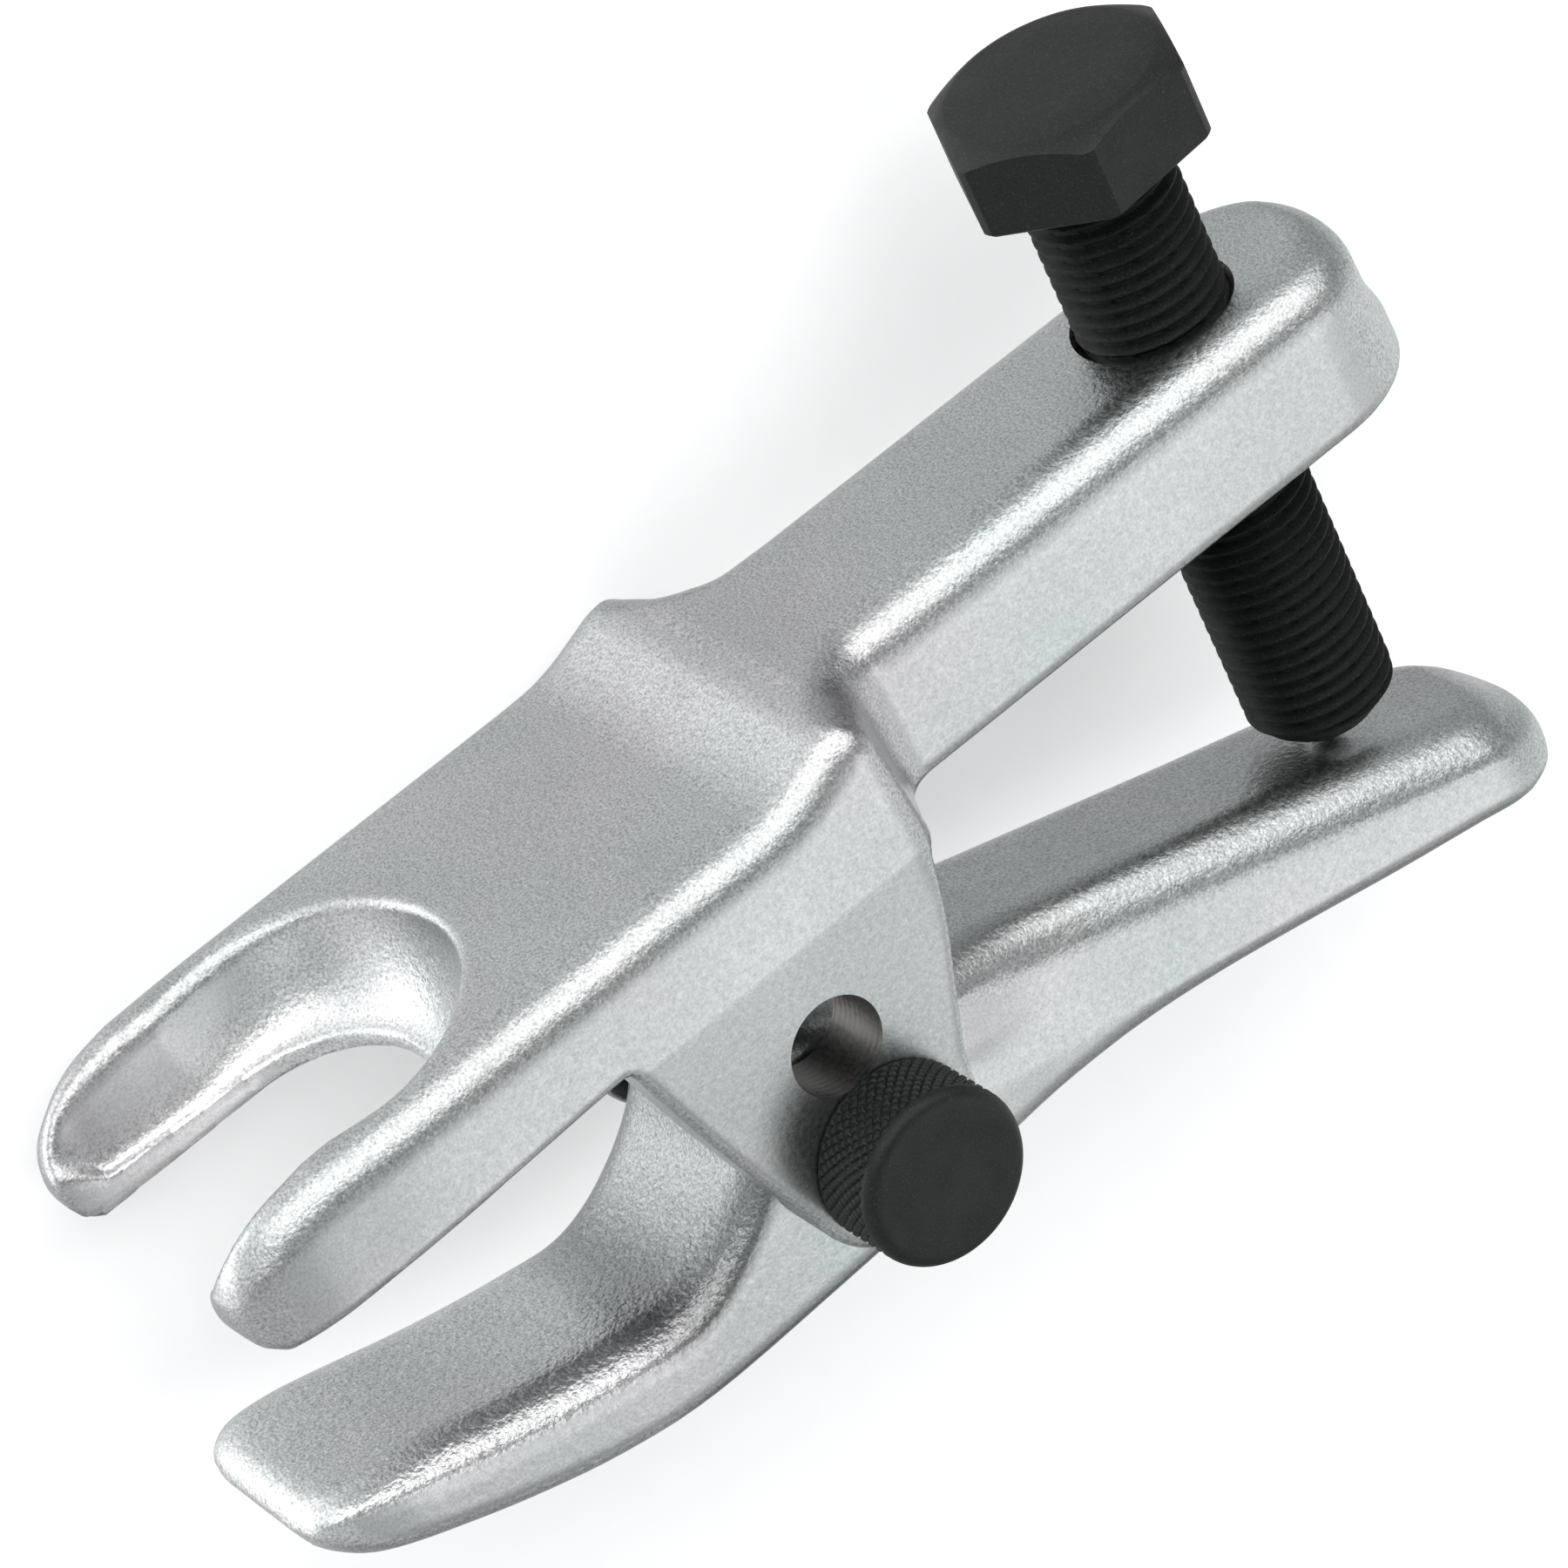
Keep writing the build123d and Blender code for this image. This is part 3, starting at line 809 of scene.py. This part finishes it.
def forged_metal(name, zones):
    """Zinc-plated forging, shot-blasted except on its trimmed sides.

    zones(nodes, links, side) lists (tone, masks) to multiply in, and gives the mask of the coarse grain.
    """
    material, nodes, links, shader = tree(name)
    fine = noise(nodes, links, 4200, 3.0, 0.6)
    grain = noise(nodes, links, 1700, 2.0, 0.55)
    patches = noise(nodes, links, 70, 3.0, 0.6)
    tint = noise(nodes, links, 38, 2.0, 0.5)
    side = facing(nodes, links, "Z", 0.9, 0.985)
    tone = shades(nodes, links, fine, [
        (0.30, (0.29, 0.30, 0.30)), (0.5, ZINC), (0.70, (0.68, 0.685, 0.68)),
    ])
    calm = spread(nodes, links, side, 0.0, 0.6, 0.0, 1.0)
    tone = masked(nodes, links, "MIX", tone, ZINC, calm)
    cloud = shades(nodes, links, patches, [(0.3, grey(0.90)), (0.7, grey(1.0))])
    hue = shades(nodes, links, tint, [
        (0.32, (0.955, 1.0, 1.0)), (0.5, (0.985, 0.99, 0.99)), (0.68, (1.0, 0.965, 0.985)),
    ])
    colour = tinted(nodes, links, tinted(nodes, links, tone, cloud), hue)
    shifts, rough = zones(nodes, links, side)
    for shift, masks in shifts:
        colour = masked(nodes, links, "MULTIPLY", colour, shift, *masks)
    links.new(colour, shader.inputs["Base Color"])
    shader.inputs["Metallic"].default_value = 1.0
    links.new(spread(nodes, links, grain, 0.30, 0.40), shader.inputs["Roughness"])
    coarse = scaled(nodes, links, scaled(nodes, links, grain, side, 1.0, 0.2), rough, 0.5, 1.0)
    bumps(nodes, links, [
        (coarse, 0.6, 0.0002),
        (scaled(nodes, links, fine, side, 1.0, 0.25), 0.25, 0.00008),
    ], shader)
    return material


def fork_zones(nodes, links, side):
    """The fork arm's tones: trimmed cheek faces duller, painted shade darkening the clevis slot between the
    cheeks, a painted highlight brightening the dish, grain even.
    """
    trimmed = place(nodes, links, "Y", PARTING_Y - 0.1, PARTING_Y + 0.2)
    # Painted shade: the clevis slot between the cheeks is darkened, where the lever and cheeks shade it.
    slot = [
        place(nodes, links, "Y", BODY_BOTTOM - 0.5, BODY_BOTTOM),
        place(nodes, links, "Z", MID + CHEEK_INNER + 0.1, MID + CHEEK_INNER + 0.3),
        place(nodes, links, "Z", MID - CHEEK_INNER - 0.1, MID - CHEEK_INNER - 0.3),
    ]
    # Painted highlight: the dish around the slot is brightened in colour, standing in for the light it
    # gathers.
    dish = [
        place(nodes, links, "X", RIM_CENTRE_X + RIM_R - 1.0, RIM_CENTRE_X + RIM_R),
        place(nodes, links, "X", TIP_X + 12.0, TIP_X + 3.0),
        place(nodes, links, "Y", FORK_TOP - 1.2, FORK_TOP - 0.3),
        place(nodes, links, "Z", MID + RIM_HALF - 1.0, MID + RIM_HALF + 1.0),
        place(nodes, links, "Z", MID - RIM_HALF + 1.0, MID - RIM_HALF - 1.0),
    ]
    shifts = [
        ((0.86, 0.86, 0.855), [side, trimmed]),
        # painted shade: the slot darkened to about a quarter
        ((0.22, 0.23, 0.23), slot),
        # painted highlight: the dish brightened about 1.4 times
        ((1.42, 1.4, 1.4), dish),
    ]
    no_coarse_grain = place(nodes, links, "X", TIP_X - 2, TIP_X - 1)
    return shifts, no_coarse_grain


def lever_zones(nodes, links, side):
    """The lever's tones: a painted highlight brightening the jaw's top, painted shade darkening the throat
    between the cheeks, grain coarse up to the pivot.
    """
    top = spread(nodes, links, side, 1.0, 0.0, 0.0, 1.0)
    # Painted highlight: the jaw's faces other than its sides are brightened 1.3 times.
    jaw = place(nodes, links, "X", -27.0, -20.0)
    # Painted shade: the throat's top between the cheeks is darkened to 0.56.
    throat_shade = [
        top,
        place(nodes, links, "X", -19.0, -26.0),
        place(nodes, links, "X", 4.0, 10.0),
    ]
    coarse_grain = place(nodes, links, "X", -4.0, 6.0)
    return [(grey(1.3), [top, jaw]), (grey(0.56), throat_shade)], coarse_grain


def black_oxide(name, gloss):
    """Matte green-black oxide with light specks."""
    material, nodes, links, shader = tree(name)
    fine = noise(nodes, links, 5200, 3.0, 0.6)
    patches = noise(nodes, links, 260, 3.0, 0.6)
    tone = shades(nodes, links, fine, [
        (0.35, (0.004, 0.0055, 0.005)), (0.62, (0.011, 0.014, 0.0135)), (0.76, (0.05, 0.055, 0.052)),
    ])
    cloud = shades(nodes, links, patches, [(0.3, (0.8, 0.82, 0.82)), (0.7, grey(1.0))])
    links.new(tinted(nodes, links, tone, cloud), shader.inputs["Base Color"])
    shader.inputs["Metallic"].default_value = 0.0
    shader.inputs["Specular IOR Level"].default_value = gloss
    links.new(spread(nodes, links, patches, 0.42, 0.58), shader.inputs["Roughness"])
    bumps(nodes, links, [(fine, 0.25, 0.00005)], shader)
    return material


def bored_steel(name):
    """Dark drilled steel with fine turning rings."""
    material, nodes, links, shader = tree(name)
    coords = nodes.new("ShaderNodeTexCoord")
    rings = nodes.new("ShaderNodeTexWave")
    rings.bands_direction = "Z"
    rings.inputs["Scale"].default_value = 420.0
    rings.inputs["Distortion"].default_value = 1.5
    links.new(coords.outputs["Object"], rings.inputs["Vector"])
    fine = noise(nodes, links, 2600, 3.0, 0.6)
    tone = shades(nodes, links, fine, [(0.3, (0.10, 0.095, 0.09)), (0.7, (0.20, 0.19, 0.18))])
    links.new(tone, shader.inputs["Base Color"])
    shader.inputs["Metallic"].default_value = 1.0
    links.new(spread(nodes, links, fine, 0.35, 0.5), shader.inputs["Roughness"])
    bumps(nodes, links, [(rings.outputs["Fac"], 0.3, 0.00006)], shader)
    return material


def ball_steel(name):
    """Polished hardened steel."""
    material, nodes, links, shader = tree(name)
    fine = noise(nodes, links, 900, 2.0)
    tone = shades(nodes, links, fine, [(0.3, (0.42, 0.43, 0.44)), (0.7, (0.55, 0.56, 0.57))])
    links.new(tone, shader.inputs["Base Color"])
    shader.inputs["Metallic"].default_value = 1.0
    links.new(spread(nodes, links, fine, 0.18, 0.28), shader.inputs["Roughness"])
    return material


def floor_paint(name):
    """Plain pale floor, faintly glowing like a light table."""
    material, nodes, links, shader = tree(name)
    fine = noise(nodes, links, 300, 2.0)
    tone = shades(nodes, links, fine, [(0.3, (0.86, 0.865, 0.87)), (0.7, (0.88, 0.885, 0.89))])
    links.new(tone, shader.inputs["Base Color"])
    shader.inputs["Roughness"].default_value = 0.9
    shader.inputs["Emission Color"].default_value = (1.0, 1.0, 1.0, 1)
    shader.inputs["Emission Strength"].default_value = 0.35
    return material


def wear(obj, material):
    """Give an object a material in place of what it has."""
    obj.data.materials.clear()
    obj.data.materials.append(material)


# ---------------------------------------------------------------- assemble
forged = forged_metal("forged_fork", fork_zones)
forged_lever = forged_metal("forged_lever", lever_zones)
bored = bored_steel("bored_steel")
black_thread = black_oxide("black_oxide_thread", 0.12)
black_head = black_oxide("black_oxide_head", 0.30)
black_pin = black_oxide("black_oxide_pin", 0.30)

# piece, body it moves with, CAD nodes that it replaces, slot
for piece, body, nodes, slot in (
    (make_fork_arm(), "frame", ["fork_arm"], "fork_forging"),
    (make_lever_arm(), "lever", ["lever_arm"], "lever_forging"),
    (make_screw(), "screw", ["forcing_screw"], "screw_steel"),
    (make_head(), "screw", [], "screw_steel"),
    (make_pin(), "pin", ["pivot_pin"], "pin_steel"),
):
    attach(piece, body)
    if nodes:
        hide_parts(*nodes)

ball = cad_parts["screw_tip_ball"]
wear(ball, ball_steel("ball_steel"))

# ---------------------------------------------------------------- floor, light, camera
bpy.ops.mesh.primitive_plane_add(size=6, location=(0, 0, -0.0002))
floor = bpy.context.object
floor.name = "floor"
wear(floor, floor_paint("floor_paint"))
floor.visible_glossy = False


def softbox(name, location, aim, size, power):
    """A large area light aimed at a point."""
    light = bpy.data.lights.new(name, "AREA")
    light.shape = "RECTANGLE"
    light.size, light.size_y = size
    light.energy = power
    obj = bpy.data.objects.new(name, light)
    bpy.context.scene.collection.objects.link(obj)
    obj.location = location
    obj.rotation_euler = (Vector(aim) - Vector(location)).to_track_quat("-Z", "Y").to_euler()


def studio_world():
    """A soft room whose brightness depends on the direction of a ray.

    Towards the screw's head (high Y) it fades from the fork's end to the screw's end and is strongest
    low down, with a bright panel far down at the fork's end. Towards the jaw (low Y) it is nearly even.
    """
    world = bpy.data.worlds.new("studio")
    world.use_nodes = True
    nodes, links = world.node_tree.nodes, world.node_tree.links
    x, y, z = (coordinate(nodes, links, "Generated", axis) for axis in "XYZ")
    across = spread(nodes, links, x, 0, 1, -0.7, 0.7)
    dim_end = [(0.7, grey(0.26)), (1.0, grey(0.14))]
    panel = shades(nodes, links, across, [(0.0, grey(1.0)), (0.35, grey(0.42)), *dim_end])
    room = shades(nodes, links, across, [(0.0, grey(0.45)), (0.35, grey(0.38)), *dim_end])
    glow = blend(nodes, links, spread(nodes, links, z, 0.0, 1.0, -0.48, -0.18), panel, room)
    head_side = product(nodes, links, glow, spread(nodes, links, z, 3.2, 1.0, -0.15, 0.5))
    low = spread(nodes, links, y, 0.35, 0.80, -0.98, -0.62)
    jaw_side = product(nodes, links, low, spread(nodes, links, x, 0.92, 1.45, 0.3, 0.8))
    strength = blend(nodes, links, spread(nodes, links, y, 1.0, 0.0, -0.4, 0.25), head_side, jaw_side)
    background = nodes["Background"]
    background.inputs["Color"].default_value = (0.97, 0.99, 1.0, 1)
    links.new(strength, background.inputs["Strength"])
    return world


def photo_camera():
    """A long lens at the photo's angle; right, up and back are the camera's own axes."""
    data = bpy.data.cameras.new("camera")
    data.sensor_width = 36.0
    data.lens = 172.0
    data.clip_start = 0.05
    obj = bpy.data.objects.new("camera", data)
    bpy.context.scene.collection.objects.link(obj)
    right = Vector((0.7473, -0.3702, 0.5519))
    up = Vector((0.5956, 0.7415, -0.3090))
    back = Vector((-0.2948, 0.5596, 0.7745))
    turn = Matrix((right, up, back)).transposed().to_4x4()
    obj.matrix_world = Matrix.Translation(Vector((-0.1742, 0.3779, 0.5148))) @ turn
    return obj


CENTRE = Vector((0.012, 0.012, 0.02))
softbox("key_over", CENTRE + Vector((0.10, 0.90, 0.58)), CENTRE, (2.2, 0.8), 12.5)
softbox("side_fill", CENTRE + Vector((0.42, -0.34, 0.92)), CENTRE, (0.9, 0.5), 1.5)

bpy.context.scene.world = studio_world()
bpy.context.scene.view_settings.view_transform = "Standard"
bpy.context.scene.camera = photo_camera()
